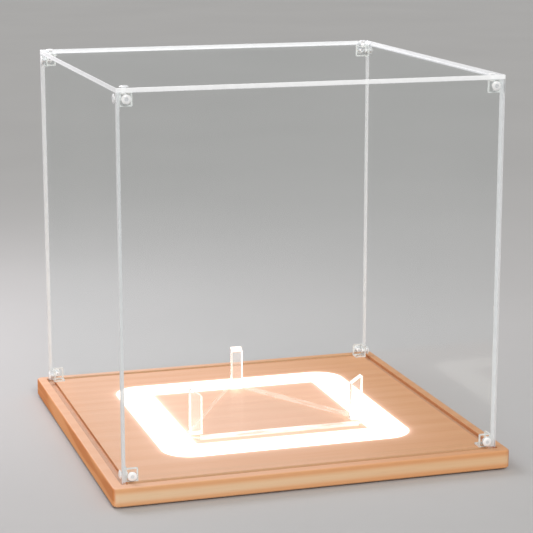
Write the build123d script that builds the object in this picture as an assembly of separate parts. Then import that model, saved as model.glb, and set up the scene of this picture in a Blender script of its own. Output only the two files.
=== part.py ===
from build123d import *
import math
import os

# Lit display case for one full-size ball: a wooden base with a glowing ring let into it, a clear
# cover that lifts off, and a clear stand with three posts. Millimetres, +Z up, +Y to the rear.
# The origin is on the table, under the middle of the base.

# ---------------------------------------------------------------- driving dimensions

# Base board
FOOT_THICK = 1.5
FOOT_DIA = 14.0
FOOT_INSET = 20.0
BOARD_SIDE = 299.0
BOARD_THICK = 14.0
BOARD_CORNER_R = 4.5
BOARD_EDGE_R = 1.5
FOOT_EDGE_R = 0.6

# Cover
COVER_SIDE = 282.0
COVER_HEIGHT = 276.0
PANEL_THICK = 3.0
GROOVE_DEPTH = 2.5
GROOVE_PLAY = 1.3
GROOVE_CORNER_R = 0.8

# Corner brackets and snap rivets
BRACKET_THICK = 1.2
BRACKET_LEG = 9.0
BRACKET_LEG_Z = 10.0
BRACKET_CORNER_R = 1.0
BRACKET_ROOT_R = 0.8
BRACKET_LIFT = 0.3
RIVET_SIDE_INSET = 4.0
RIVET_END_INSET = 4.7
RIVET_HOLE_R = 1.55
RIVET_SHANK_R = 1.5
RIVET_HEAD_R = 3.3
RIVET_HEAD_HEIGHT = 0.9
RIVET_BARB_R = 1.8
RIVET_TAIL = 0.9
RIVET_TAIL_R = 1.4
RIVET_RIM = 0.27
RIVET_DOME_R = 2.465
RIVET_DOME_HEIGHT = 0.774
PIN_R = 0.7
PIN_HEAD_R = 1.3
PIN_PLAY = 0.05
PIN_EDGE = 0.2
PIN_SUNK = 0.1

# Light ring
RING_OUTER = 97.0
RING_INNER = 68.0
RING_OUTER_R = 22.0
RING_INNER_R = 2.0
DIFFUSER_THICK = 3.0
DIFFUSER_PLAY = 0.1
DIFFUSER_LEDGE = 3.0
CHANNEL_DEPTH = 7.0
STRIP_CENTRE = 82.5
STRIP_LENGTH = 150.0
STRIP_WIDTH = 8.0
STRIP_THICK = 0.4
LED_LENGTH = 3.5
LED_WIDTH = 2.8
LED_HEIGHT = 0.8
LED_COUNT = 10
LED_PITCH = 15.0
RESISTOR_LENGTH = 2.0
RESISTOR_WIDTH = 1.25
RESISTOR_HEIGHT = 0.5
RESISTOR_PITCH = 45.0
JUMPER_R = 0.5
JUMPER_SPREAD = 1.6
LEAD_R = 0.65
LEAD_BEND_R = 6.0
LEAD_FLAT = 5.0
LEAD_DROP = 4.0
SOLDER_LAP = 2.0

# Electronics pocket in the underside, at the rear
POCKET_HALF_WIDTH = 24.0
POCKET_FRONT = 104.0
POCKET_REAR = 145.0
POCKET_CEILING = 10.5
TUNNEL_HALF_WIDTH = 4.0
TUNNEL_FRONT = 90.0
HATCH_HALF_WIDTH = 33.0
HATCH_FRONT = 86.0
HATCH_REAR = 146.5
HATCH_RECESS = 1.6
HATCH_THICK = 1.5
HATCH_PLAY = 0.2
HATCH_CORNER_R = 3.0
HATCH_SCREW_X = 28.5
HATCH_SCREW_YS = (91.5, 141.0)
HATCH_SCREW_R = 1.25
HATCH_SCREW_HEAD_R = 2.5
HATCH_SCREW_TIP = 8.0
HATCH_SCREW_POINT = 1.0
CROSS_HALF_LENGTH = 1.3
CROSS_HALF_WIDTH = 0.3
CROSS_DEPTH = 0.7
DRIVER_HALF_WIDTH = 21.0
DRIVER_FRONT = 108.0
DRIVER_REAR = 142.5
DRIVER_THICK = 1.6
DRIVER_SCREW_X = 17.0
DRIVER_SCREW_Y = 112.0
DRIVER_SCREW_R = 1.0
DRIVER_SCREW_HEAD_R = 1.9
DRIVER_SCREW_HEAD = 1.4
DRIVER_SCREW_EDGE_R = 0.7
DRIVER_SCREW_TIP = 13.6
SCREW_PLAY = 0.05
CHIP_X = 4.0
CHIP_Y = 122.0
CHIP_HALF_LENGTH = 2.5
CHIP_HALF_WIDTH = 2.0
CHIP_HEIGHT = 1.5
CAPACITOR_X = -12.0
CAPACITOR_Y = 124.0
CAPACITOR_R = 2.5
CAPACITOR_HEIGHT = 5.0

# Power inlet and push switch in the rear edge
REAR_RECESS_DEPTH = 1.5
REAR_RECESS_WIDTH = 34.0
REAR_RECESS_HEIGHT = 8.0
REAR_RECESS_R = 3.5
REAR_CENTRE_Z = 7.3
SOCKET_X = -8.0
SOCKET_WIDTH = 8.94
SOCKET_HEIGHT = 3.26
SOCKET_CORNER_R = 1.6
SOCKET_WALL = 0.3
SOCKET_END = 1.0
SOCKET_LENGTH = 9.5
SOCKET_PROUD = 0.6
SOCKET_PLAY = 0.3
TONGUE_WIDTH = 6.7
TONGUE_HEIGHT = 0.7
TONGUE_LENGTH = 5.0
BUTTON_X = 8.0
BUTTON_R = 2.5
BUTTON_HOLE_PLAY = 0.08
BUTTON_PROUD = 1.3
BUTTON_EDGE_R = 0.6
BUTTON_FLANGE_R = 3.2
BUTTON_FLANGE_THICK = 0.8
BUTTON_TRAVEL = 0.6
SWITCH_SIDE = 6.0
SWITCH_LENGTH = 3.6
SWITCH_HEIGHT = 4.4
PLUNGER_R = 1.6
PLUNGER_GAP = 2.0
DOME_THICK = 0.2

# Stand
PLATE_THICK = 4.0
PLATE_FRONT = -59.5
PLATE_BACK = 66.0
PLATE_FRONT_HALF = 76.9
PLATE_BACK_HALF = 5.6
PLATE_FRONT_R = 8.0
PLATE_BACK_R = 4.0
POST_FRONT_X = 64.0
POST_FRONT_Y = -50.0
POST_BACK_Y = 60.0
POST_LONG = 9.5
POST_SHORT = 5.5
POST_SEAT = 1.5
POST_HEIGHT = 38.5
POST_EDGE_R = 0.8
POST_INNER_R = 2.4
POST_OUTER_R = 1.0
POST_PLAY = 0.05
BALL_R = 121.5
BALL_PLAY = 0.1

# How far a cut reaches past the face it opens
PAST = 1.0

# ---------------------------------------------------------------- worked out

BOARD_BOTTOM = FOOT_THICK
BOARD_TOP = BOARD_BOTTOM + BOARD_THICK
BOARD_REAR = BOARD_SIDE / 2
COVER_OUTER = COVER_SIDE / 2
COVER_INNER = COVER_OUTER - PANEL_THICK
GROOVE_FLOOR = BOARD_TOP - GROOVE_DEPTH
COVER_TOP = BOARD_TOP + COVER_HEIGHT
WALL_TOP = COVER_TOP - PANEL_THICK
DIFFUSER_BOTTOM = BOARD_TOP - DIFFUSER_THICK
CHANNEL_FLOOR = BOARD_TOP - CHANNEL_DEPTH
STRIP_TOP = CHANNEL_FLOOR + STRIP_THICK
HATCH_CEILING = BOARD_BOTTOM + HATCH_RECESS
HATCH_BOTTOM = HATCH_CEILING - HATCH_THICK
DRIVER_UNDERSIDE = POCKET_CEILING - DRIVER_THICK
RECESS_FLOOR = BOARD_REAR - REAR_RECESS_DEPTH
SOCKET_MOUTH = RECESS_FLOOR + SOCKET_PROUD
SOCKET_ROOT = SOCKET_MOUTH - SOCKET_LENGTH + SOCKET_END
SOCKET_Z = DRIVER_UNDERSIDE - SOCKET_HEIGHT / 2
SWITCH_Z = DRIVER_UNDERSIDE - SWITCH_HEIGHT / 2
BUTTON_INNER = POCKET_REAR - BUTTON_FLANGE_THICK - BUTTON_TRAVEL
SWITCH_FRONT = BUTTON_INNER - PLUNGER_GAP - SWITCH_LENGTH
PLUNGER_INNER = BUTTON_INNER - PLUNGER_GAP - SWITCH_LENGTH / 2
BORE_FLOOR = PLUNGER_INNER - BUTTON_TRAVEL
PLATE_TOP = BOARD_TOP + PLATE_THICK
POST_BOTTOM = PLATE_TOP - POST_SEAT

# The three posts stand on one circle, and the ball's centre is over the middle of that circle.
SEAT_Y = (POST_BACK_Y**2 - POST_FRONT_X**2 - POST_FRONT_Y**2) / (2 * (POST_BACK_Y - POST_FRONT_Y))
FRONT_ASIDE = SEAT_Y - POST_FRONT_Y - POST_SHORT / 2
POST_REACH = math.hypot(POST_FRONT_X + POST_LONG / 2, FRONT_ASIDE)
BALL_Z = BOARD_TOP + POST_HEIGHT + math.sqrt(BALL_R**2 - POST_REACH**2)

SIDES = {"left": -1, "right": 1}
ENDS = {"front": -1, "back": 1}


# ---------------------------------------------------------------- shape helpers


def block(xs, ys, zs):
    """A plain rectangular solid between two limits on each axis."""
    centre = Pos(sum(xs) / 2, sum(ys) / 2, sum(zs) / 2)
    return centre * Box(xs[1] - xs[0], ys[1] - ys[0], zs[1] - zs[0])


def span(centre, half):
    """The two limits of a stretch, from its middle and half its length."""
    return (centre - half, centre + half)


def square_ring(outer, inner, outer_r, inner_r, zs):
    """A flat square ring, given by its half widths and corner radii."""
    outline = RectangleRounded(2 * outer, 2 * outer, outer_r)
    outline -= RectangleRounded(2 * inner, 2 * inner, inner_r)
    return Pos(0, 0, zs[0]) * extrude(outline, zs[1] - zs[0])


def rounded_plate(xs, ys, zs, corner_r):
    """A flat plate with rounded corners."""
    outline = RectangleRounded(xs[1] - xs[0], ys[1] - ys[0], corner_r)
    return Pos(sum(xs) / 2, sum(ys) / 2, zs[0]) * extrude(outline, zs[1] - zs[0])


def rear_plane(x, y, z):
    """A plane that faces the rear, with its own X along the board's."""
    return Plane(origin=(x, y, z), x_dir=(1, 0, 0), z_dir=(0, 1, 0))


def rod(radius, start, length, direction=(0, 0, 1)):
    """A round solid from a start point along a direction."""
    rod_plane = Plane(origin=start, z_dir=direction)
    return rod_plane * Cylinder(radius, length, align=(Align.CENTER, Align.CENTER, Align.MIN))


def turned(points):
    """A solid of revolution about Z from radius and height points."""
    profile = make_face(Plane.XZ * Polyline(*points, close=True))
    return revolve(profile, Axis.Z)


def wire(points, bend_r, radius):
    """A round wire along straight runs joined by arcs."""
    path = FilletPolyline(*points, radius=bend_r)
    section = Plane(origin=path @ 0, z_dir=path % 0) * Circle(radius)
    return sweep(section, path)


# ---------------------------------------------------------------- base


def base_board():
    """Wooden board with the cover's groove, the light's channel and the rear pocket."""
    half = BOARD_SIDE / 2
    board = rounded_plate((-half, half), (-half, half), (BOARD_BOTTOM, BOARD_TOP), BOARD_CORNER_R)
    faces = board.faces().sort_by(Axis.Z)
    board = fillet(faces[0].edges() + faces[-1].edges(), BOARD_EDGE_R)
    play = GROOVE_PLAY
    top = (GROOVE_FLOOR, BOARD_TOP + PAST)
    board -= square_ring(COVER_OUTER + play, COVER_INNER - play, GROOVE_CORNER_R, GROOVE_CORNER_R, top)
    top = (DIFFUSER_BOTTOM, BOARD_TOP + PAST)
    board -= square_ring(RING_OUTER, RING_INNER, RING_OUTER_R, RING_INNER_R, top)
    outer = RING_OUTER - DIFFUSER_LEDGE
    inner = RING_INNER + DIFFUSER_LEDGE
    outer_r = RING_OUTER_R - DIFFUSER_LEDGE
    inner_r = RING_INNER_R + DIFFUSER_LEDGE
    board -= square_ring(outer, inner, outer_r, inner_r, (CHANNEL_FLOOR, DIFFUSER_BOTTOM + PAST))
    return board - underside_cuts() - rear_cuts()


def underside_cuts():
    """Pocket, wire tunnel, cover recess and screw holes in the board's underside."""
    low = (BOARD_BOTTOM - PAST, POCKET_CEILING)
    cuts = block(span(0, POCKET_HALF_WIDTH), (POCKET_FRONT, POCKET_REAR), low)
    cuts += block(span(0, TUNNEL_HALF_WIDTH), (TUNNEL_FRONT, POCKET_FRONT + PAST), low)
    hatch_zs = (BOARD_BOTTOM - PAST, HATCH_CEILING)
    cuts += rounded_plate(span(0, HATCH_HALF_WIDTH), (HATCH_FRONT, HATCH_REAR), hatch_zs, HATCH_CORNER_R)
    for x, y in hatch_screw_places():
        cuts += rod(HATCH_SCREW_R + SCREW_PLAY, (x, y, BOARD_BOTTOM), HATCH_SCREW_TIP - BOARD_BOTTOM)
    for x in (-DRIVER_SCREW_X, DRIVER_SCREW_X):
        start = (x, DRIVER_SCREW_Y, POCKET_CEILING - PAST)
        cuts += rod(DRIVER_SCREW_R + SCREW_PLAY, start, DRIVER_SCREW_TIP - POCKET_CEILING + PAST)
    return cuts


def rear_cuts():
    """Finger recess, socket opening and button hole in the board's rear edge."""
    recess = RectangleRounded(REAR_RECESS_WIDTH, REAR_RECESS_HEIGHT, REAR_RECESS_R)
    cuts = rear_plane(0, RECESS_FLOOR, REAR_CENTRE_Z) * extrude(recess, REAR_RECESS_DEPTH + PAST)
    cuts += socket_sleeve(SOCKET_PLAY, POCKET_REAR - PAST, BOARD_REAR)
    start = (BUTTON_X, POCKET_REAR - PAST, SWITCH_Z)
    cuts += rod(BUTTON_R + BUTTON_HOLE_PLAY, start, BOARD_REAR - POCKET_REAR + 2 * PAST, (0, 1, 0))
    return cuts


def socket_sleeve(grow, front, rear):
    """The socket's rounded outline as a solid, grown by a margin."""
    outline = RectangleRounded(SOCKET_WIDTH + 2 * grow, SOCKET_HEIGHT + 2 * grow, SOCKET_CORNER_R + grow)
    return rear_plane(SOCKET_X, front, SOCKET_Z) * extrude(outline, rear - front)


def hatch_screw_places():
    """Where the bottom cover's screws are."""
    return [(x, y) for x in (-HATCH_SCREW_X, HATCH_SCREW_X) for y in HATCH_SCREW_YS]


def foot(side, end):
    """One round stick-on foot with a softened lower edge."""
    place = BOARD_SIDE / 2 - FOOT_INSET
    pad = rod(FOOT_DIA / 2, (side * place, end * place, 0), FOOT_THICK)
    return fillet(pad.edges().sort_by(Axis.Z)[0], FOOT_EDGE_R)


def bottom_cover():
    """Thin plate over the pocket, with four countersunk holes."""
    xs = span(0, HATCH_HALF_WIDTH - HATCH_PLAY)
    ys = (HATCH_FRONT + HATCH_PLAY, HATCH_REAR - HATCH_PLAY)
    plate = rounded_plate(xs, ys, (HATCH_BOTTOM, HATCH_CEILING), HATCH_CORNER_R - HATCH_PLAY)
    for x, y in hatch_screw_places():
        plate -= Pos(x, y, 0) * hatch_screw(SCREW_PLAY)
    return plate


def hatch_screw(grow=0.0):
    """A countersunk screw on the Z axis, or its hole when it is grown by a margin."""
    shank = HATCH_SCREW_R + grow
    head = HATCH_SCREW_HEAD_R + grow
    shoulder = HATCH_BOTTOM + (HATCH_SCREW_HEAD_R - HATCH_SCREW_R)
    points = [(0, HATCH_BOTTOM), (head, HATCH_BOTTOM), (shank, shoulder)]
    points += [(shank, HATCH_SCREW_TIP - HATCH_SCREW_POINT), (0, HATCH_SCREW_TIP)]
    return turned(points)


def cover_screws():
    """The four screws of the bottom cover, each with a cross recess."""
    zs = (HATCH_BOTTOM - PAST, HATCH_BOTTOM + CROSS_DEPTH)
    recess = block(span(0, CROSS_HALF_LENGTH), span(0, CROSS_HALF_WIDTH), zs)
    recess += block(span(0, CROSS_HALF_WIDTH), span(0, CROSS_HALF_LENGTH), zs)
    screw = hatch_screw() - recess
    return Compound([Pos(x, y, 0) * screw for x, y in hatch_screw_places()])


# ---------------------------------------------------------------- light


def led_diffuser():
    """Opal ring that covers the channel, flush with the board."""
    play = DIFFUSER_PLAY
    zs = (DIFFUSER_BOTTOM, BOARD_TOP)
    return square_ring(RING_OUTER - play, RING_INNER + play, RING_OUTER_R - play, RING_INNER_R + play, zs)


def on_four_sides(piece):
    """Copies of a piece of the front strip, turned to all four sides."""
    return [Rot(0, 0, 90 * turn) * piece for turn in range(4)]


def strip_block(x, length, width, zs):
    """A block on the front strip's centre line."""
    return block(span(x, length / 2), span(-STRIP_CENTRE, width / 2), zs)


def led_strips():
    """Four flexible circuit strips on the channel's floor."""
    strip = strip_block(0, STRIP_LENGTH, STRIP_WIDTH, (CHANNEL_FLOOR, STRIP_TOP))
    return Compound(on_four_sides(strip))


def led_chips():
    """The light-emitting diodes, evenly spaced on the strips."""
    chips = []
    for index in range(LED_COUNT):
        x = (index - (LED_COUNT - 1) / 2) * LED_PITCH
        chips += on_four_sides(strip_block(x, LED_LENGTH, LED_WIDTH, (STRIP_TOP, STRIP_TOP + LED_HEIGHT)))
    return Compound(chips)


def led_resistors():
    """The resistors between the diodes."""
    resistors = []
    zs = (STRIP_TOP, STRIP_TOP + RESISTOR_HEIGHT)
    for x in (-RESISTOR_PITCH, 0, RESISTOR_PITCH):
        resistors += on_four_sides(strip_block(x, RESISTOR_LENGTH, RESISTOR_WIDTH, zs))
    return Compound(resistors)


def corner_jumpers():
    """Two wire links round each of three corners, from strip to strip."""
    end = STRIP_LENGTH / 2
    z = STRIP_TOP + JUMPER_R
    links = []
    for spread in (-JUMPER_SPREAD, JUMPER_SPREAD):
        line = STRIP_CENTRE + spread
        lap = end - SOLDER_LAP
        link = wire([(lap, -line, z), (line, -line, z), (line, -lap, z)], line - end, JUMPER_R)
        links += [Rot(0, 0, turn) * link for turn in (0, 90, -90)]
    return Compound(links)


def lead(side):
    """One wire from the rear strip through the tunnel to the driver board."""
    x = side * JUMPER_SPREAD
    high = STRIP_TOP + LEAD_R
    low = DRIVER_UNDERSIDE - LEAD_R
    rear = STRIP_CENTRE + STRIP_WIDTH / 2
    points = [(x, rear - SOLDER_LAP, high), (x, rear + LEAD_FLAT, high)]
    points += [(x, POCKET_FRONT - LEAD_DROP, low), (x, DRIVER_FRONT + LEAD_FLAT, low)]
    return wire(points, LEAD_BEND_R, LEAD_R)


# ---------------------------------------------------------------- electronics


def driver_board():
    """Circuit board against the pocket's ceiling, with two screw holes."""
    zs = (DRIVER_UNDERSIDE, POCKET_CEILING)
    board = block(span(0, DRIVER_HALF_WIDTH), (DRIVER_FRONT, DRIVER_REAR), zs)
    for x in (-DRIVER_SCREW_X, DRIVER_SCREW_X):
        start = (x, DRIVER_SCREW_Y, DRIVER_UNDERSIDE - PAST)
        board -= rod(DRIVER_SCREW_R + SCREW_PLAY, start, DRIVER_THICK + 2 * PAST)
    return board


def driver_screws():
    """Two round-headed screws through the driver board into the wood."""
    screws = []
    for x in (-DRIVER_SCREW_X, DRIVER_SCREW_X):
        low = DRIVER_UNDERSIDE - DRIVER_SCREW_HEAD
        screw = rod(DRIVER_SCREW_HEAD_R, (x, DRIVER_SCREW_Y, low), DRIVER_SCREW_HEAD)
        screw = fillet(screw.edges().sort_by(Axis.Z)[0], DRIVER_SCREW_EDGE_R)
        start = (x, DRIVER_SCREW_Y, DRIVER_UNDERSIDE)
        screw += rod(DRIVER_SCREW_R, start, DRIVER_SCREW_TIP - DRIVER_UNDERSIDE)
        screws.append(screw)
    return Compound(screws)


def dimmer_chip():
    """Controller chip on the driver board's underside."""
    xs = span(CHIP_X, CHIP_HALF_LENGTH)
    ys = span(CHIP_Y, CHIP_HALF_WIDTH)
    return block(xs, ys, (DRIVER_UNDERSIDE - CHIP_HEIGHT, DRIVER_UNDERSIDE))


def capacitor():
    """Round capacitor on the driver board's underside."""
    start = (CAPACITOR_X, CAPACITOR_Y, DRIVER_UNDERSIDE - CAPACITOR_HEIGHT)
    return rod(CAPACITOR_R, start, CAPACITOR_HEIGHT)


def socket_shell():
    """Steel shell of the power inlet, closed at its inner end."""
    shell = socket_sleeve(0, SOCKET_MOUTH - SOCKET_LENGTH, SOCKET_MOUTH)
    return shell - socket_sleeve(-SOCKET_WALL, SOCKET_ROOT, SOCKET_MOUTH + PAST)


def socket_tongue():
    """Contact tongue in the middle of the power inlet."""
    ys = (SOCKET_ROOT, SOCKET_ROOT + TONGUE_LENGTH)
    return block(span(SOCKET_X, TONGUE_WIDTH / 2), ys, span(SOCKET_Z, TONGUE_HEIGHT / 2))


def switch_body():
    """Push switch on the driver board, with a bore for its plunger."""
    rear = SWITCH_FRONT + SWITCH_LENGTH
    zs = (DRIVER_UNDERSIDE - SWITCH_HEIGHT, DRIVER_UNDERSIDE)
    body = block(span(BUTTON_X, SWITCH_SIDE / 2), (SWITCH_FRONT, rear), zs)
    floor = BORE_FLOOR - DOME_THICK
    bore = rod(PLUNGER_R + BUTTON_HOLE_PLAY, (BUTTON_X, floor, SWITCH_Z), rear - floor + PAST, (0, 1, 0))
    return body - bore


def switch_dome():
    """Snap disc that pushes the plunger back."""
    return rod(PLUNGER_R, (BUTTON_X, BORE_FLOOR - DOME_THICK, SWITCH_Z), DOME_THICK, (0, 1, 0))


def switch_plunger():
    """Plunger between the snap disc and the button cap."""
    length = BUTTON_INNER - PLUNGER_INNER
    return rod(PLUNGER_R, (BUTTON_X, PLUNGER_INNER, SWITCH_Z), length, (0, 1, 0))


def power_button():
    """Button cap with a flange that keeps it behind the board's rear wall."""
    tip = RECESS_FLOOR + BUTTON_PROUD
    cap = rod(BUTTON_R, (BUTTON_X, BUTTON_INNER, SWITCH_Z), tip - BUTTON_INNER, (0, 1, 0))
    cap = fillet(cap.edges().sort_by(Axis.Y)[-1], BUTTON_EDGE_R)
    start = (BUTTON_X, BUTTON_INNER, SWITCH_Z)
    return cap + rod(BUTTON_FLANGE_R, start, BUTTON_FLANGE_THICK, (0, 1, 0))


# ---------------------------------------------------------------- stand


def stand_plate():
    """Three-cornered plate with a shallow seat for each post."""
    front = (PLATE_FRONT_HALF, PLATE_FRONT)
    back = (PLATE_BACK_HALF, PLATE_BACK)
    outline = make_face(Polyline((-front[0], front[1]), front, back, (-back[0], back[1]), close=True))
    plate = Pos(0, 0, BOARD_TOP) * extrude(outline, PLATE_THICK)
    corners = plate.edges().filter_by(Axis.Z).sort_by(Axis.Y)
    plate = fillet(corners[:2], PLATE_FRONT_R)
    corners = plate.edges().filter_by(Axis.Z).filter_by(GeomType.LINE).sort_by(Axis.Y)
    plate = fillet(corners[-2:], PLATE_BACK_R)
    for place, size, _ in POSTS.values():
        plate -= place * post_seat(*size)
    return plate


def post_seat(long, short):
    """The shallow seat of a post, at the origin."""
    xs = span(0, long / 2 + POST_PLAY)
    ys = span(0, short / 2 + POST_PLAY)
    return rounded_plate(xs, ys, (POST_BOTTOM, PLATE_TOP + PAST), POST_EDGE_R)


def under_ball(reach, aside):
    """Height just under the ball, at a distance outwards and aside from its centre."""
    return BALL_Z - math.sqrt(BALL_R**2 - reach**2 - aside**2) - BALL_PLAY


def stand_post(long, short, reach, aside):
    """A clear post at the origin, outwards along +X, its top sloping down towards the ball."""
    inner = (-long / 2, under_ball(reach - long / 2, aside))
    outer = (long / 2, under_ball(reach + long / 2, aside))
    line = Polyline((-long / 2, POST_BOTTOM), (long / 2, POST_BOTTOM), outer, inner, close=True)
    post = extrude(Plane.XZ * make_face(line), short / 2, both=True)
    post = fillet(nearest_edge(post, inner), POST_INNER_R)
    post = fillet(nearest_edge(post, outer), POST_OUTER_R)
    sides = post.faces().sort_by(Axis.Y)
    rims = sides[0].edges() + sides[-1].edges()
    return fillet([edge for edge in rims if edge.center().Z > POST_BOTTOM + POST_PLAY], POST_EDGE_R)


def nearest_edge(post, corner):
    """The edge along Y that passes nearest a corner of the outline."""
    edges = post.edges().filter_by(Axis.Y)
    return min(edges, key=lambda edge: math.dist(corner, (edge.center().X, edge.center().Z)))


# Each post: its place, its size outwards and across, and its distances outwards and aside from the ball
POSTS = {
    "left": (
        Pos(-POST_FRONT_X, POST_FRONT_Y, 0) * Rot(0, 0, 180),
        (POST_LONG, POST_SHORT),
        (POST_FRONT_X, FRONT_ASIDE),
    ),
    "right": (
        Pos(POST_FRONT_X, POST_FRONT_Y, 0),
        (POST_LONG, POST_SHORT),
        (POST_FRONT_X, FRONT_ASIDE),
    ),
    "back": (
        Pos(0, POST_BACK_Y, 0) * Rot(0, 0, 90),
        (POST_SHORT, POST_LONG),
        (POST_BACK_Y - SEAT_Y, 0),
    ),
}


# ---------------------------------------------------------------- cover


def rivet_spots(side, end, level):
    """The rivets of one cover corner, as origin and outward direction on each outer face."""
    across = COVER_INNER - RIVET_SIDE_INSET
    top = level == "top"
    z = WALL_TOP - RIVET_END_INSET if top else BOARD_TOP + BRACKET_LIFT + RIVET_END_INSET
    spots = {
        "end": ((side * across, end * COVER_OUTER, z), (0, end, 0)),
        "side": ((side * COVER_OUTER, end * across, z), (side, 0, 0)),
    }
    if top:
        spots["top"] = ((side * across, end * across, COVER_TOP), (0, 0, 1))
    return spots


def all_spots(level):
    """Every rivet spot of the cover's top or bottom corners."""
    corners = [(side, end) for side in SIDES.values() for end in ENDS.values()]
    return [spot for corner in corners for spot in rivet_spots(*corner, level).values()]


def drilled(panel):
    """A panel with every rivet hole that passes through it."""
    for origin, outward in all_spots("top") + all_spots("bottom"):
        inward = tuple(-part for part in outward)
        start = tuple(place + PAST * part for place, part in zip(origin, outward))
        panel -= rod(RIVET_HOLE_R, start, PANEL_THICK + 2 * PAST, inward)
    return panel


def end_panel(end):
    """Front or back panel, as wide as the cover."""
    ys = sorted((end * COVER_OUTER, end * COVER_INNER))
    return drilled(block(span(0, COVER_OUTER), ys, (GROOVE_FLOOR, WALL_TOP)))


def side_panel(side):
    """Left or right panel, between the front and back panels."""
    xs = sorted((side * COVER_OUTER, side * COVER_INNER))
    return drilled(block(xs, span(0, COVER_INNER), (GROOVE_FLOOR, WALL_TOP)))


def top_panel():
    """Top panel, lying on all four walls."""
    return drilled(block(span(0, COVER_OUTER), span(0, COVER_OUTER), (WALL_TOP, COVER_TOP)))


def bracket_blank():
    """Three square flanges that meet in a corner at the origin, towards +X, +Y and +Z."""
    thick = BRACKET_THICK
    leg = BRACKET_LEG
    high = BRACKET_LEG_Z
    bracket = block((0, leg), (0, thick), (0, high))
    bracket += block((0, thick), (0, leg), (0, high))
    bracket += block((0, leg), (0, leg), (0, thick))
    root = [edge for edge in bracket.edges() if is_inner_root(edge)]
    bracket = fillet(root, BRACKET_ROOT_R)
    tips = [edge for edge in bracket.edges() if is_free_corner(edge)]
    bracket = fillet(tips, BRACKET_CORNER_R)
    across = RIVET_SIDE_INSET
    up = RIVET_END_INSET
    through = thick + 2 * PAST
    bracket -= rod(RIVET_HOLE_R, (across, -PAST, up), through, (0, 1, 0))
    bracket -= rod(RIVET_HOLE_R, (-PAST, across, up), through, (1, 0, 0))
    return bracket - rod(RIVET_HOLE_R, (across, across, -PAST), through)


def is_inner_root(edge):
    """Whether an edge is where two flanges meet on the inside."""
    middle = edge @ 0.5
    near = [abs(value - BRACKET_THICK) < 1e-6 for value in (middle.X, middle.Y, middle.Z)]
    return sum(near) == 2 and edge.length > BRACKET_LEG / 2


def is_free_corner(edge):
    """Whether an edge is the far corner of a flange, across its thickness."""
    middle = edge @ 0.5
    far = [abs(middle.X - BRACKET_LEG), abs(middle.Y - BRACKET_LEG), abs(middle.Z - BRACKET_LEG_Z)]
    return sum(value < 1e-6 for value in far) == 2 and abs(edge.length - BRACKET_THICK) < 1e-6


def bracket(side, end, level):
    """One corner bracket in its place inside the cover."""
    shape = bracket_blank()
    if side > 0:
        shape = mirror(shape, Plane.YZ)
    if end > 0:
        shape = mirror(shape, Plane.XZ)
    if level == "top":
        shape = mirror(shape, Plane.XY)
    z = WALL_TOP if level == "top" else BOARD_TOP + BRACKET_LIFT
    return Pos(side * COVER_INNER, end * COVER_INNER, z) * shape


def rivet_body():
    """Snap rivet with a domed head, standing on the outer face at the origin."""
    grip = PANEL_THICK + BRACKET_THICK
    bore = PIN_R + PIN_PLAY
    seat = PIN_HEAD_R + PIN_PLAY
    with BuildPart() as body:
        with BuildSketch(Plane.XZ):
            with BuildLine():
                Polyline(
                    (bore, -grip - RIVET_TAIL),
                    (RIVET_TAIL_R, -grip - RIVET_TAIL),
                    (RIVET_BARB_R, -grip - RIVET_TAIL / 3),
                    (RIVET_BARB_R, -grip),
                    (RIVET_SHANK_R, -grip),
                    (RIVET_SHANK_R, 0),
                    (RIVET_HEAD_R, 0),
                    (RIVET_HEAD_R, RIVET_RIM),
                )
                ThreePointArc(
                    (RIVET_HEAD_R, RIVET_RIM),
                    (RIVET_DOME_R, RIVET_DOME_HEIGHT),
                    (seat, RIVET_HEAD_HEIGHT),
                )
                Polyline(
                    (seat, RIVET_HEAD_HEIGHT),
                    (seat, RIVET_HEAD_HEIGHT / 2),
                    (bore, RIVET_HEAD_HEIGHT / 2),
                    (bore, -grip - RIVET_TAIL),
                )
            make_face()
        revolve(axis=Axis.Z)
    return body.part


def rivet_pin():
    """Pin pushed into the rivet, its head sunk in the rivet's."""
    tip = -PANEL_THICK - BRACKET_THICK - RIVET_TAIL
    seat = RIVET_HEAD_HEIGHT / 2
    crown = RIVET_HEAD_HEIGHT - PIN_SUNK
    points = [(0, tip), (PIN_R - PIN_EDGE, tip), (PIN_R, tip + PIN_EDGE), (PIN_R, seat), (PIN_HEAD_R, seat)]
    points += [(PIN_HEAD_R, crown - PIN_EDGE), (PIN_HEAD_R - PIN_EDGE, crown), (0, crown)]
    return turned(points)


def placed(piece, level):
    """Copies of a rivet or pin on every spot of the top or bottom corners."""
    return Compound([Plane(origin=spot, z_dir=outward) * piece for spot, outward in all_spots(level)])


# ---------------------------------------------------------------- all pieces


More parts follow.
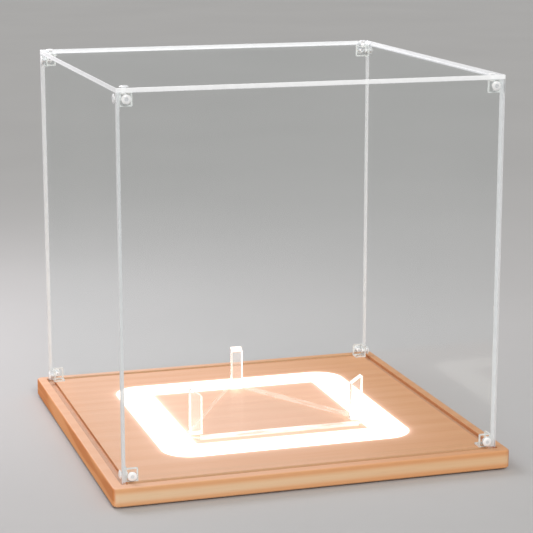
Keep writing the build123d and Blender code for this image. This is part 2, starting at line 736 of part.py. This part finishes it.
def all_parts():
    """Every sub-part by name."""
    parts = {
        "base_board": base_board(),
        "led_diffuser": led_diffuser(),
        "led_strips": led_strips(),
        "led_chips": led_chips(),
        "led_resistors": led_resistors(),
        "corner_jumpers": corner_jumpers(),
        "lead_positive": lead(-1),
        "lead_negative": lead(1),
        "driver_board": driver_board(),
        "driver_screws": driver_screws(),
        "dimmer_chip": dimmer_chip(),
        "capacitor": capacitor(),
        "socket_shell": socket_shell(),
        "socket_tongue": socket_tongue(),
        "switch_body": switch_body(),
        "switch_dome": switch_dome(),
        "switch_plunger": switch_plunger(),
        "power_button": power_button(),
        "bottom_cover": bottom_cover(),
        "cover_screws": cover_screws(),
        "stand_plate": stand_plate(),
        "front_panel": end_panel(-1),
        "back_panel": end_panel(1),
        "left_panel": side_panel(-1),
        "right_panel": side_panel(1),
        "top_panel": top_panel(),
    }
    for name, (place, size, distances) in POSTS.items():
        parts[f"stand_post_{name}"] = place * stand_post(*size, *distances)
    for side_name, side in SIDES.items():
        for end_name, end in ENDS.items():
            parts[f"foot_{end_name}_{side_name}"] = foot(side, end)
            for level in ("top", "bottom"):
                parts[f"{level}_bracket_{end_name}_{side_name}"] = bracket(side, end, level)
    for level in ("top", "bottom"):
        parts[f"{level}_rivet_bodies"] = placed(rivet_body(), level)
        parts[f"{level}_rivet_pins"] = placed(rivet_pin(), level)
    return parts


os.makedirs("parts", exist_ok=True)
for part_name, shape in all_parts().items():
    export_step(shape, f"parts/{part_name}.step")
print(f"seat centre y {SEAT_Y:.2f}, ball centre z {BALL_Z:.2f}")
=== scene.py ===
"""Looks of a clear display case: acrylic cover and ball stand on a wooden base with a light ring."""

import math

import bpy
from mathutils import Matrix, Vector


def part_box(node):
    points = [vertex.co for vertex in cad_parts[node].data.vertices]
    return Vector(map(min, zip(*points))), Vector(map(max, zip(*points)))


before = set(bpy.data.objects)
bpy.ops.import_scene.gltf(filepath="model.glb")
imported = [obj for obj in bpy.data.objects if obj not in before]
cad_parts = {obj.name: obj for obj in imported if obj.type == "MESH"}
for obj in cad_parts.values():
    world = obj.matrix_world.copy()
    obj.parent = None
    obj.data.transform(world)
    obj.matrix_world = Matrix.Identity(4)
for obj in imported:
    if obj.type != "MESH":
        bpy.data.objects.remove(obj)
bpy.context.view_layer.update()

MM = 0.001
X, Y, Z = range(3)

# Camera: where it stands, how it is turned in degrees, its lens and sensor in millimetres, and its reach
CAMERA_PLACE = (-0.4014, -1.3256, 0.4316)
CAMERA_YAW = 17.13
CAMERA_PITCH = 12.19
CAMERA_LENS = 123.28
CAMERA_SENSOR = 36.0
CAMERA_NEAR = 0.05
CAMERA_FAR = 60.0

# Places read from the frame
BOARD_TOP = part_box("base_board")[1].z
GROOVE_MIDDLE = sum(abs(corner.y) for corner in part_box("front_panel")) / 2
RING_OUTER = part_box("led_diffuser")[1].x

# Light ring: corner radius outside, and half width of its opening
RING_CORNER = 22 * MM
RING_INNER = 68 * MM

# Colours of the wood's figure, at places from 0 to 1 along it: top and bottom, long edges, end grain
FACE_TONES = (
    (0.20, (0.82, 0.505, 0.345)),
    (0.50, (0.80, 0.475, 0.310)),
    (0.80, (0.765, 0.43, 0.272)),
)
EDGE_TONES = (
    (0.20, (0.71, 0.495, 0.315)),
    (0.55, (0.70, 0.44, 0.26)),
    (0.85, (0.67, 0.35, 0.17)),
)
END_TONES = (
    (0.42, (0.748, 0.338, 0.141)),
    (0.49, (0.71, 0.305, 0.115)),
    (0.54, (0.617, 0.226, 0.074)),
)

# The board is darker towards its right end: where that starts and ends, and what colours are multiplied by
FACE_DRIFT = (-0.02, 0.14, (0.88, 0.84, 0.72))
BOARD_DRIFT = (-0.10, 0.15, (0.95, 0.88, 0.80))

# Dark details of the wood and painted shade in its groove, and how strongly they show
FIBRE_COLOUR = (0.56, 0.29, 0.15)
FIBRE_SHARE = 0.20
PORE_COLOUR = (0.42, 0.21, 0.10)
PORE_SHARE = 0.16
GROOVE_SHADE_COLOUR = (0.51, 0.27, 0.15)
GROOVE_SHADE_SHARE = 0.42
GROOVE_REACH = 4 * MM        # to each side of its middle
GROOVE_BELOW = 6 * MM        # under the board's top, past which nothing counts as groove

# Growth rings: the step between them, how far they wander, where one falls, and how their heart lies
RING_STEP = 11 * MM
RING_WANDER = 9 * MM
RING_PHASE = 0.67
HEART_PLACE = (0, 0.25, 0.35)
HEART_TURN = (0, math.radians(0.4), math.radians(0.5))
WAVE_TURN = 20               # radians per metre of a wave texture of scale 1

# Repeats per metre along X, Y and Z of the noises that are longer one way
WANDER_GRAIN = (0.9, 12, 12)
BROAD_GRAIN = (2, 16, 40)
NARROW_GRAIN = (5, 90, 120)
FIBRE_GRAIN = (14, 620, 620)
PORE_GRAIN = (70, 2600, 2600)
FLAME_GRAIN = (10, 7, 95)
FLAME_TURN = (math.radians(5), 0, 0)
PAINTED_STREAK_REPEATS = (45, 60, 420)
BRUSHED_GRAIN = (3000, 500, 500)

# Painted glow of the ring's light on the wood: close to the ring, further out, and in its opening
PAINTED_GLOW_COLOUR = (1.0, 0.77, 0.72)
NEAR_GLOW = 0.55
NEAR_REACH = 1.6 * MM
WIDE_GLOW = 0.09
WIDE_REACH = 13 * MM
OPENING_GLOW = 0.18

# Clear plastic: how much of a plain mirror its faces show, and how much of the painted edge light a
# panel's foot keeps in the groove
ACRYLIC_IOR = 1.49
MIRROR_SHARE = 0.035
FOOT_SHARE = 0.12

# Clear plastic: how much painted light makes the edges of the walls and of the top pale, and how wide
# their rounding is
WALL_EDGE_PAINTED_LIGHT = 0.92
TOP_EDGE_PAINTED_LIGHT = 0.85
SHEET_EASE = 0.35 * MM
BRACKET_EASE = 0.3 * MM
BRACKET_OUTLINE = 1.2 * MM

# Clear plastic: the pale colours painted on its edges for the light they gather, and the colour and
# strength of the painted glow they give off
WALL_EDGE = (0.72, 0.735, 0.75)
WHITE_EDGE = (0.90, 0.91, 0.92)
BRACKET_EDGE = (0.76, 0.79, 0.78)
NO_GLOW = ((1.0, 1.0, 1.0), 0.0)
COOL_GLOW = ((0.95, 0.98, 1.0), 0.10)
WARM_GLOW = ((1.0, 0.78, 0.66), 0.55)

# How far a face has to turn towards an axis before it starts to count as facing it, and counts in full
TURN_STARTS = 0.5
TURN_ENDS = 0.9

# Where most of a noise's values lie
NOISE_LOW = 0.3
NOISE_HIGH = 0.7

# Plain finishes
WHITE_PLASTIC = (0.82, 0.82, 0.80)
BLACK_PLASTIC = (0.022, 0.022, 0.024)
WHITE_NYLON = (0.90, 0.91, 0.92)
GREY_NYLON = (0.70, 0.72, 0.74)
WHITE_STRIP = (0.86, 0.87, 0.88)
BLACK_COMPONENT = (0.03, 0.03, 0.033)
RED_WIRE = (0.55, 0.03, 0.03)
BLACK_WIRE = (0.03, 0.03, 0.03)
GREEN_BOARD = (0.03, 0.20, 0.09)
STEEL = (0.72, 0.72, 0.73)
BRASS = (0.80, 0.62, 0.30)
ALUMINIUM = (0.78, 0.79, 0.80)


# ---------------------------------------------------------------- node helpers


class Surface:
    """A material and its node tree, with short calls that add and join nodes."""

    def __init__(self, name):
        self.material = bpy.data.materials.new(name)
        self.material.use_nodes = True
        self.tree = self.material.node_tree
        self.shader = self.tree.nodes["Principled BSDF"]
        self.output = self.tree.nodes["Material Output"]
        self.place = self.node("TexCoord").outputs["Object"]

    def node(self, kind, inputs=None, **settings):
        """Adds a node; inputs takes values or sockets by name or number."""
        made = self.tree.nodes.new("ShaderNode" + kind)
        for key, value in settings.items():
            setattr(made, key, value)
        for key, value in (inputs or {}).items():
            self.put(made.inputs[key], value)
        return made

    def put(self, socket, value):
        """Links a socket, or sets a plain value."""
        if isinstance(value, bpy.types.NodeSocket):
            self.tree.links.new(value, socket)
        else:
            socket.default_value = value

    def set(self, **values):
        """Sets the Principled shader's inputs; an underscore stands for a space."""
        for key, value in values.items():
            self.put(self.shader.inputs[key.replace("_", " ")], value)

    def math(self, operation, first, second=0.0):
        return self.node("Math", {0: first, 1: second}, operation=operation).outputs[0]

    def weighted(self, *terms):
        """The sum of some values, each times its own weight."""
        products = [self.math("MULTIPLY", value, weight) for value, weight in terms]
        total = products[0]
        for product in products[1:]:
            total = self.math("ADD", total, product)
        return total

    def vector(self, operation, first, second=(0.0, 0.0, 0.0)):
        made = self.node("VectorMath", {0: first, 1: second}, operation=operation)
        return made.outputs["Value" if operation == "LENGTH" else "Vector"]

    def parts(self, vector):
        """A vector's three numbers."""
        return self.node("SeparateXYZ", {0: vector}).outputs

    def normal(self):
        """The way that the surface faces, before any bump."""
        return self.node("TexCoord").outputs["Normal"]

    def facing(self):
        """How much the surface faces each axis, either way along it, from 0 to 1."""
        return self.parts(self.vector("ABSOLUTE", self.normal()))

    def stretched(self, repeats, turn=(0.0, 0.0, 0.0)):
        """Object coordinates, scaled by its own number along each axis."""
        return self.node("Mapping", {"Vector": self.place, "Scale": repeats, "Rotation": turn}).outputs[0]

    def noise(self, scale, vector=None, detail=2.0, rough=0.5):
        inputs = {"Scale": scale, "Detail": detail, "Roughness": rough, "Vector": vector or self.place}
        return self.node("TexNoise", inputs).outputs["Fac"]

    def grain(self, repeats, turn=(0.0, 0.0, 0.0), detail=2.0, rough=0.5):
        """A noise with its own number of repeats per metre along each axis."""
        return self.noise(1.0, self.stretched(repeats, turn), detail, rough)

    def remap(self, value, low, high, to_low=0.0, to_high=1.0):
        """Takes low..high to to_low..to_high with soft ends."""
        inputs = {"Value": value, "From Min": low, "From Max": high, "To Min": to_low, "To Max": to_high}
        return self.node("MapRange", inputs, interpolation_type="SMOOTHSTEP").outputs[0]

    def ramp(self, value, stops):
        """A colour ramp through (place, colour) stops."""
        made = self.node("ValToRGB", {"Fac": value})
        elements = made.color_ramp.elements
        while len(elements) < len(stops):
            elements.new(0.5)
        for element, (place, colour) in zip(elements, stops):
            element.position = place
            element.color = (*colour, 1.0)
        return made.outputs["Color"]

    def spread(self, noise, low, high):
        """Numbers from low to high that follow a noise."""
        return self.remap(noise, NOISE_LOW, NOISE_HIGH, low, high)

    def tones(self, noise, low, high):
        """Colours from low to high that follow a noise."""
        return self.ramp(noise, ((NOISE_LOW, low), (NOISE_HIGH, high)))

    def blend(self, share, first, second, kind="MIX"):
        """A mix of two colours."""
        made = self.node("Mix", data_type="RGBA", blend_type=kind, clamp_result=True)
        self.put(made.inputs["Factor"], share)
        colours = [socket for socket in made.inputs if socket.type == "RGBA"]
        for socket, value in zip(colours, (first, second)):
            self.put(socket, (*value, 1.0) if isinstance(value, tuple) else value)
        return next(socket for socket in made.outputs if socket.type == "RGBA")

    def mix(self, share, first, second):
        """A mix of two shaders."""
        return self.node("MixShader", {0: share, 1: first, 2: second}).outputs[0]

    def bump(self, height, distance, strength=1.0):
        inputs = {"Height": height, "Distance": distance, "Strength": strength}
        self.put(self.shader.inputs["Normal"], self.node("Bump", inputs).outputs[0])


def shaded(colour, share):
    """The colour, made darker."""
    return tuple(share * channel for channel in colour)


def grained(name, colour, rough, grain):
    """A moulded or pressed finish: slight colour drift, uneven gloss and a fine grain."""
    swing = 0.06
    surface = Surface(name)
    drift = surface.noise(grain / 6, detail=3)
    fine = surface.noise(grain)
    surface.set(Base_Color=surface.tones(drift, shaded(colour, 1 - 2 * swing), colour))
    surface.set(Roughness=surface.spread(fine, rough - swing, rough + swing))
    surface.bump(fine, 0.02 * MM)
    return surface


# ---------------------------------------------------------------- wood


def growth_rings(surface):
    """Growth rings along X, 0 in early wood and 1 in late wood: plain, and softened by broader streaks."""
    wander = surface.grain(WANDER_GRAIN, detail=3)
    drift = surface.math("MULTIPLY", surface.math("SUBTRACT", wander, 0.5), RING_WANDER)
    moved = surface.node("CombineXYZ", {"X": 0.0, "Y": drift, "Z": drift}).outputs[0]
    heart = surface.node("Mapping", {
        "Vector": surface.vector("ADD", surface.place, moved),
        "Location": HEART_PLACE,
        "Rotation": HEART_TURN,
    }).outputs[0]
    rings = surface.node("TexWave", {
        "Vector": heart,
        "Scale": math.tau / (WAVE_TURN * RING_STEP),
        "Distortion": 0.0,
        "Phase Offset": RING_PHASE,
    }, wave_type="RINGS", rings_direction="X").outputs["Fac"]
    broad = surface.grain(BROAD_GRAIN)
    narrow = surface.grain(NARROW_GRAIN)
    return rings, surface.weighted((broad, 0.45), (narrow, 0.30), (rings, 0.25))


def darkened(surface, colour, along, drift):
    """The colour, multiplied by the drift's own colour more and more from its start to its end."""
    start, end, factor = drift
    return surface.blend(surface.remap(along, start, end), colour, factor, kind="MULTIPLY")


def figured(surface, along):
    """The wood's figure on its faces, its long edges and its end grain."""
    rings, figure = growth_rings(surface)
    face = darkened(surface, surface.ramp(figure, FACE_TONES), along, FACE_DRIFT)
    edge = surface.ramp(surface.weighted((rings, 0.7), (figure, 0.3)), EDGE_TONES)
    flame = surface.ramp(surface.grain(FLAME_GRAIN, turn=FLAME_TURN, detail=1), END_TONES)
    facing = surface.facing()
    colour = surface.blend(surface.remap(facing[Y], TURN_STARTS, TURN_ENDS), face, edge)
    return surface.blend(surface.remap(facing[X], TURN_STARTS, TURN_ENDS), colour, flame)


def painted_groove_shade(surface, place):
    """How much painted shade shows in the groove: only near its middle line, and only below the board's
    top.
    """
    reach = surface.math("MAXIMUM", surface.math("ABSOLUTE", place[X]), surface.math("ABSOLUTE", place[Y]))
    off_middle = surface.math("ABSOLUTE", surface.math("SUBTRACT", reach, GROOVE_MIDDLE))
    in_groove = surface.math("LESS_THAN", off_middle, GROOVE_REACH)
    sunk = surface.remap(place[Z], BOARD_TOP - 0.1 * MM, BOARD_TOP - 1.2 * MM, 0.0, GROOVE_SHADE_SHARE)
    shallow = surface.math("GREATER_THAN", place[Z], BOARD_TOP - GROOVE_BELOW)
    return surface.math("MULTIPLY", surface.math("MULTIPLY", in_groove, sunk), shallow)


def ring_distances(surface):
    """Distance from the light ring in metres, outwards and into its opening; each is below 0 elsewhere."""
    level = surface.vector("MULTIPLY", surface.vector("ABSOLUTE", surface.place), (1.0, 1.0, 0.0))
    straight = RING_OUTER - RING_CORNER
    past = surface.vector("MAXIMUM", surface.vector("SUBTRACT", level, (straight, straight, 0.0)))
    outside = surface.math("SUBTRACT", surface.vector("LENGTH", past), RING_CORNER)
    parts = surface.parts(level)
    inside = surface.math("SUBTRACT", RING_INNER, surface.math("MAXIMUM", parts[X], parts[Y]))
    return outside, inside


def painted_ring_glow(surface, height):
    """Painted glow of the ring in the pale wood around it and in its opening, on the top face only."""
    outside, inside = ring_distances(surface)
    distance = surface.math("MAXIMUM", surface.math("MAXIMUM", outside, inside), 0.0)
    near = surface.math("EXPONENT", surface.math("MULTIPLY", distance, -1 / NEAR_REACH))
    wide = surface.math("EXPONENT", surface.math("MULTIPLY", distance, -1 / WIDE_REACH))
    opening = surface.math("GREATER_THAN", inside, 0.0)
    glow = surface.weighted((near, NEAR_GLOW), (wide, WIDE_GLOW), (opening, OPENING_GLOW))
    on_top = surface.remap(height, BOARD_TOP - 0.4 * MM, BOARD_TOP - 0.1 * MM)
    surface.set(Emission_Color=(*PAINTED_GLOW_COLOUR, 1.0))
    surface.set(Emission_Strength=surface.math("MULTIPLY", glow, on_top))


def wood():
    """Pale solid wood with the grain along X, painted shade in its groove and a painted glow around the
    ring.
    """
    surface = Surface("pale_wood")
    place = surface.parts(surface.place)
    fibre = surface.grain(FIBRE_GRAIN, detail=3, rough=0.6)
    pores = surface.grain(PORE_GRAIN, detail=1)
    colour = figured(surface, place[X])
    colour = surface.blend(surface.remap(fibre, 0.45, 0.85, 0.0, FIBRE_SHARE), colour, FIBRE_COLOUR)
    colour = surface.blend(surface.remap(pores, 0.60, 0.85, 0.0, PORE_SHARE), colour, PORE_COLOUR)
    colour = darkened(surface, colour, place[X], BOARD_DRIFT)
    # painted shade darkens the groove
    surface.set(Base_Color=surface.blend(painted_groove_shade(surface, place), colour, GROOVE_SHADE_COLOUR))
    satin = surface.spread(fibre, 0.44, 0.58)
    open_grain = surface.remap(surface.facing()[X], TURN_STARTS, TURN_ENDS, 0.0, 0.3)
    surface.set(Roughness=surface.math("ADD", satin, open_grain))
    surface.set(Specular_IOR_Level=0.2)
    surface.bump(surface.weighted((fibre, 0.6), (pores, -0.4)), 0.05 * MM, 0.5)
    # painted glow of the ring's light on the top face
    painted_ring_glow(surface, place[Z])
    return surface.material


# ---------------------------------------------------------------- clear plastic and light


def opal():
    """The lit opal diffuser of the light ring."""
    surface = Surface("lit_opal")
    mottle = surface.noise(90, detail=3)
    surface.set(Base_Color=surface.tones(mottle, (0.86, 0.84, 0.80), (0.93, 0.91, 0.88)))
    surface.set(Roughness=surface.spread(mottle, 0.38, 0.5))
    surface.set(Emission_Color=surface.tones(mottle, (1.0, 0.80, 0.62), (1.0, 0.83, 0.67)))
    surface.set(Emission_Strength=1.7)
    surface.bump(surface.noise(1500), 0.01 * MM)
    return surface.material


def lets_lamps_through(surface, shader, tint):
    """Shows the shader, but lets rays from lamps pass, so that clear pieces cast no black shadow."""
    lamp_ray = surface.node("LightPath").outputs["Is Shadow Ray"]
    clear = surface.node("BsdfTransparent", {"Color": (*tint, 1.0)}).outputs[0]
    surface.put(surface.output.inputs["Surface"], surface.mix(lamp_ray, shader, clear))
    return surface.material


def clear_sheet(surface, haze):
    """Thin clear plastic: see-through, with a faint mirror that grows towards grazing angles."""
    tint = surface.tones(haze, (0.982, 0.988, 0.988), (0.992, 0.996, 0.996))
    through = surface.node("BsdfTransparent", {"Color": tint}).outputs[0]
    gloss = surface.node("BsdfGlossy", {"Color": (1, 1, 1, 1), "Roughness": 0.12}).outputs[0]
    fresnel = surface.node("Fresnel", {"IOR": ACRYLIC_IOR}).outputs[0]
    return surface.mix(surface.math("MULTIPLY", fresnel, MIRROR_SHARE), through, gloss)


def gathered_light(surface, fine, colour, glow):
    """Painted light on a clear plastic edge: pale, satin and, if it glows, a painted glow as if a little
    lit from inside.
    """
    light, strength = glow
    surface.set(
        Base_Color=surface.tones(fine, shaded(colour, 0.94), colour),
        Roughness=surface.spread(fine, 0.28, 0.40),
        IOR=ACRYLIC_IOR,
        Emission_Color=(*light, 1.0),
        Emission_Strength=strength,
    )
    surface.bump(fine, 0.01 * MM)
    return surface.shader.outputs[0]


def above_board(surface, share):
    """The share of painted edge light, but much less in the groove, where a panel's foot catches little
    light.
    """
    height = surface.parts(surface.place)[Z]
    lit = surface.remap(height, BOARD_TOP - 0.3 * MM, BOARD_TOP + 0.3 * MM, FOOT_SHARE, 1.0)
    return surface.math("MULTIPLY", share, lit)


def acrylic(name, thin_axis, painted_light, colour, glow):
    """Clear sheet, thin along one axis, with dressed edges painted pale for the light they gather."""
    surface = Surface(name)
    edge = surface.remap(surface.facing()[thin_axis], 0.55, 0.85, painted_light, 0.0)
    pale = gathered_light(surface, surface.noise(250, detail=3), colour, glow)
    sheet = clear_sheet(surface, surface.noise(6))
    both = surface.mix(above_board(surface, edge), sheet, pale)
    return lets_lamps_through(surface, both, tint=(0.975, 0.98, 0.98))


def pale_edge(name, share, colour, glow):
    """The rounded rim of a clear piece, painted pale for the light it gathers."""
    surface = Surface(name)
    pale = gathered_light(surface, surface.noise(900), colour, glow)
    sheet = clear_sheet(surface, surface.noise(20))
    both = surface.mix(above_board(surface, share), sheet, pale)
    return lets_lamps_through(surface, both, tint=(0.95, 0.955, 0.955))


def stand_sheet():
    """Clear plate whose front edge is painted pale, with a painted glow, for the ring's light it gathers,
    its slanting edges much less, in painted streaks.
    """
    surface = Surface("stand_sheet")
    # painted light: the edge that faces the front is painted paler than the slanting ones
    front = surface.math("MULTIPLY", surface.parts(surface.normal())[Y], -1.0)
    frontal = surface.remap(front, 0.3, 0.8, 0.08, 0.75)
    rim = surface.remap(surface.facing()[Z], 0.55, TURN_ENDS, 1.0, 0.0)
    flow = surface.grain(PAINTED_STREAK_REPEATS, detail=1)
    streaks = surface.remap(flow, 0.35, 0.6, 0.45, 1.0)
    share = surface.math("MULTIPLY", surface.math("MULTIPLY", frontal, rim), streaks)
    pale = gathered_light(surface, flow, WHITE_EDGE, WARM_GLOW)
    sheet = clear_sheet(surface, surface.noise(20))
    return lets_lamps_through(surface, surface.mix(share, sheet, pale), tint=(0.97, 0.97, 0.97))


def stand_post():
    """Polished clear post whose rounded edges are painted pale, with a painted glow, for the ring's light
    they gather.
    """
    surface = Surface("stand_post")
    facing = surface.facing()
    flat = surface.math("MAXIMUM", surface.math("MAXIMUM", facing[X], facing[Y]), facing[Z])
    flow = surface.noise(120)
    surface.set(Base_Color=(0.99, 0.99, 0.99, 1.0), IOR=1.4, Transmission_Weight=1.0, Roughness=0.0)
    surface.bump(flow, 0.01 * MM)
    light, strength = WARM_GLOW
    gathered = surface.node("BsdfPrincipled", {
        "Base Color": surface.tones(flow, (0.84, 0.85, 0.86), (0.95, 0.95, 0.95)),
        "Roughness": surface.spread(flow, 0.12, 0.22),
        "Emission Color": (*light, 1.0),
        "Emission Strength": strength,
    }).outputs[0]
    # painted light on the rounded edges, where the post faces no axis squarely
    share = surface.remap(flat, 0.86, 0.985, to_low=0.75, to_high=0.08)
    both = surface.mix(share, surface.shader.outputs[0], gathered)
    return lets_lamps_through(surface, both, tint=(0.97, 0.97, 0.97))


def rim_share(surface, box, width):
    """1 along the outline of every flange of a bracket that fills the box, mirrored into each corner,
    where the painted bright outline goes.
    """
    low, high = box
    place = surface.parts(surface.vector("ABSOLUTE", surface.place))
    facing = surface.facing()
    share = 0.0
    for axis in (X, Y, Z):
        limits = sorted((abs(low[axis]), abs(high[axis])))
        off_middle = surface.math("ABSOLUTE", surface.math("SUBTRACT", place[axis], sum(limits) / 2))
        half = (limits[1] - limits[0]) / 2
        rim = surface.remap(off_middle, half - width, half - 0.7 * width)
        rim = surface.math("MULTIPLY", rim, surface.math("SUBTRACT", 1.0, facing[axis]))
        share = surface.math("MAXIMUM", rim, share)
    return share


def clear_bracket(name, box):
    """Clear moulded bracket whose flanges have a painted bright outline, standing in for the light their
    edges catch.
    """
    surface = Surface(name)
    flow = surface.noise(400)
    pale = gathered_light(surface, flow, BRACKET_EDGE, NO_GLOW)
    outline = surface.math("MULTIPLY", rim_share(surface, box, BRACKET_OUTLINE), 0.75)
    share = surface.math("ADD", outline, surface.remap(flow, 0.45, NOISE_HIGH, 0.02, 0.10))
    both = surface.mix(share, clear_sheet(surface, flow), pale)
    return lets_lamps_through(surface, both, tint=(0.96, 0.965, 0.965))


def nylon(name, colour):
    surface = grained(name, colour, rough=0.32, grain=900)
    surface.set(Subsurface_Weight=0.25, Subsurface_Scale=0.8 * MM, Subsurface_Radius=(1.0, 0.95, 0.9))
    return surface.material


def silicone():
    surface = grained("clear_silicone", (0.82, 0.84, 0.85), rough=0.38, grain=700)
    surface.set(Transmission_Weight=0.6, IOR=1.41)
    return surface.material


def brushed_metal(name, colour, rough):
    """Metal with fine drawn lines."""
    swing = 0.07
    surface = Surface(name)
    lines = surface.grain(BRUSHED_GRAIN)
    surface.set(Base_Color=surface.tones(lines, shaded(colour, 0.8), colour), Metallic=1.0)
    surface.set(Roughness=surface.spread(lines, rough - swing, rough + swing))
    surface.bump(lines, 0.01 * MM)
    return surface.material


def phosphor():
    """The lit yellow face of an LED."""
    surface = grained("lit_phosphor", (0.90, 0.74, 0.25), rough=0.4, grain=1500)
    surface.set(Emission_Color=(1.0, 0.78, 0.45, 1.0), Emission_Strength=2.0)
    return surface.material


# ---------------------------------------------------------------- finishes of the CAD nodes


def dress(names, *materials):
    """Gives nodes their materials, in slot order."""
    for name in names:
        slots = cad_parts[name].data.materials
        slots.clear()
        for material in materials:
            slots.append(material)


def ease(names, width, slot=0):
    """Rounds sharp edges, and pulls faces in a hair so that neighbours don't share a plane."""
    for name in names:
        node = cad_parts[name]
        weld = node.modifiers.new("weld", "WELD")
        weld.merge_threshold = 0.002 * MM
        bevel = node.modifiers.new("ease", "BEVEL")
        bevel.width = width
        bevel.segments = 2
        bevel.limit_method = "ANGLE"
        bevel.angle_limit = math.radians(50)
        bevel.material = slot
        bevel.use_clamp_overlap = True
        shrink = node.modifiers.new("gap", "DISPLACE")
        shrink.strength = -0.03 * MM
        shrink.mid_level = 0.0


def named(*starts):
    """Every node whose name starts so."""
    return sorted(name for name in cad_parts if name.startswith(starts))


def finish_cover():
    edge = pale_edge("panel_edge", 0.9, WALL_EDGE, NO_GLOW)
    dress(["left_panel", "right_panel"], acrylic("acrylic_sides", X, WALL_EDGE_PAINTED_LIGHT, WALL_EDGE, NO_GLOW), edge)
    dress(["front_panel", "back_panel"], acrylic("acrylic_front", Y, WALL_EDGE_PAINTED_LIGHT, WALL_EDGE, NO_GLOW), edge)
    top_edge = pale_edge("top_edge", 0.95, WHITE_EDGE, COOL_GLOW)
    dress(["top_panel"], acrylic("acrylic_top", Z, TOP_EDGE_PAINTED_LIGHT, WHITE_EDGE, COOL_GLOW), top_edge)
    ease(["front_panel", "back_panel", "left_panel", "right_panel", "top_panel"], SHEET_EASE, slot=1)
    rim = pale_edge("bracket_edge", 0.75, BRACKET_EDGE, NO_GLOW)
    for level in ("top", "bottom"):
        brackets = named(level + "_bracket")
        dress(brackets, clear_bracket(level + "_bracket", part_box(brackets[0])), rim)
        ease(brackets, BRACKET_EASE, slot=1)
    dress(["top_rivet_bodies", "bottom_rivet_bodies"], nylon("white_nylon", WHITE_NYLON))
    dress(["top_rivet_pins", "bottom_rivet_pins"], nylon("pin_nylon", GREY_NYLON))


def finish_base_and_stand():
    dress(["base_board"], wood())
    dress(["led_diffuser"], opal())
    dress(["stand_plate"], stand_sheet())
    ease(["stand_plate"], SHEET_EASE)
    dress(named("stand_post"), stand_post())
    dress(named("foot_"), silicone())
    white = grained("white_plastic", WHITE_PLASTIC, rough=0.35, grain=1100).material
    black = grained("black_plastic", BLACK_PLASTIC, rough=0.42, grain=1300).material
    dress(["power_button", "switch_plunger"], white)
    dress(["bottom_cover"], black)


def finish_electronics():
    steel = brushed_metal("steel", STEEL, rough=0.30)
    dress(["cover_screws", "driver_screws", "socket_shell", "switch_dome"], steel)
    dress(["socket_tongue"], brushed_metal("contact", BRASS, rough=0.28))
    dress(["capacitor"], brushed_metal("can", ALUMINIUM, rough=0.26))
    dress(["led_strips"], grained("white_strip", WHITE_STRIP, rough=0.4, grain=900).material)
    dress(["led_chips"], phosphor())
    component = grained("component", BLACK_COMPONENT, rough=0.5, grain=1500).material
    dress(["led_resistors", "dimmer_chip", "switch_body"], component)
    red = grained("insulation_red", RED_WIRE, rough=0.4, grain=1200).material
    black = grained("insulation_black", BLACK_WIRE, rough=0.4, grain=1200).material
    dress(["lead_positive"], red)
    dress(["lead_negative", "corner_jumpers"], black)
    dress(["driver_board"], grained("circuit_board", GREEN_BOARD, rough=0.35, grain=800).material)


# ---------------------------------------------------------------- studio


def floor():
    """A wide pale floor, just under the feet."""
    half = 15.0
    mesh = bpy.data.meshes.new("floor")
    corners = [(-half, -half, 0), (half, -half, 0), (half, half, 0), (-half, half, 0)]
    mesh.from_pydata(corners, [], [(0, 1, 2, 3)])
    plane = bpy.data.objects.new("floor", mesh)
    bpy.context.scene.collection.objects.link(plane)
    surface = Surface("floor")
    cloud = surface.noise(3, detail=3)
    surface.set(Base_Color=surface.tones(cloud, (0.49, 0.485, 0.48), (0.51, 0.505, 0.50)), Roughness=0.9)
    mesh.materials.append(surface.material)


def lamp(name, place, target, size, power, colour):
    """A square soft box aimed at a point."""
    light = bpy.data.lights.new(name, "AREA")
    light.shape = "SQUARE"
    light.size = size
    light.energy = power
    light.color = colour
    holder = bpy.data.objects.new(name, light)
    holder.location = place
    holder.rotation_euler = (Vector(target) - Vector(place)).to_track_quat("-Z", "Y").to_euler()
    bpy.context.scene.collection.objects.link(holder)


def sun(name, direction, power, spread, colour):
    """A soft light from far away, which lights the floor evenly."""
    light = bpy.data.lights.new(name, "SUN")
    light.energy = power
    light.angle = math.radians(spread)
    light.color = colour
    holder = bpy.data.objects.new(name, light)
    holder.rotation_euler = Vector(direction).to_track_quat("Z", "Y").to_euler()
    bpy.context.scene.collection.objects.link(holder)


def studio():
    """Pale surroundings, a key light in front, a warm fill from the left and a rim light behind."""
    world = bpy.data.worlds.new("studio")
    world.use_nodes = True
    background = world.node_tree.nodes["Background"]
    background.inputs["Color"].default_value = (0.98, 0.99, 1.0, 1.0)
    background.inputs["Strength"].default_value = 0.42
    bpy.context.scene.world = world
    sun("key", direction=(0.05, -1.35, 0.88), power=1.9, spread=25, colour=(1.0, 0.98, 0.95))
    sun("fill", direction=(-1.0, -0.2, 0.22), power=0.62, spread=30, colour=(1.0, 0.93, 0.84))
    rim_place = (-0.34, 0.40, 0.62)
    rim_target = (-0.06, 0.04, 0.0)
    lamp("rim", rim_place, rim_target, size=0.45, power=3.2, colour=(1.0, 0.95, 1.0))


def camera():
    data = bpy.data.cameras.new("camera")
    data.lens = CAMERA_LENS
    data.sensor_width = CAMERA_SENSOR
    data.clip_start = CAMERA_NEAR
    data.clip_end = CAMERA_FAR
    holder = bpy.data.objects.new("camera", data)
    holder.location = CAMERA_PLACE
    holder.rotation_euler = (math.radians(90 - CAMERA_PITCH), 0, math.radians(-CAMERA_YAW))
    bpy.context.scene.collection.objects.link(holder)
    bpy.context.scene.camera = holder


def render_settings():
    """Plain colours, and enough bounces to see through every clear sheet."""
    bpy.context.scene.view_settings.view_transform = "Standard"
    bpy.context.scene.cycles.transparent_max_bounces = 32
    bpy.context.scene.cycles.transmission_bounces = 24
    bpy.context.scene.cycles.max_bounces = 24


finish_base_and_stand()
finish_cover()
finish_electronics()
floor()
studio()
camera()
render_settings()
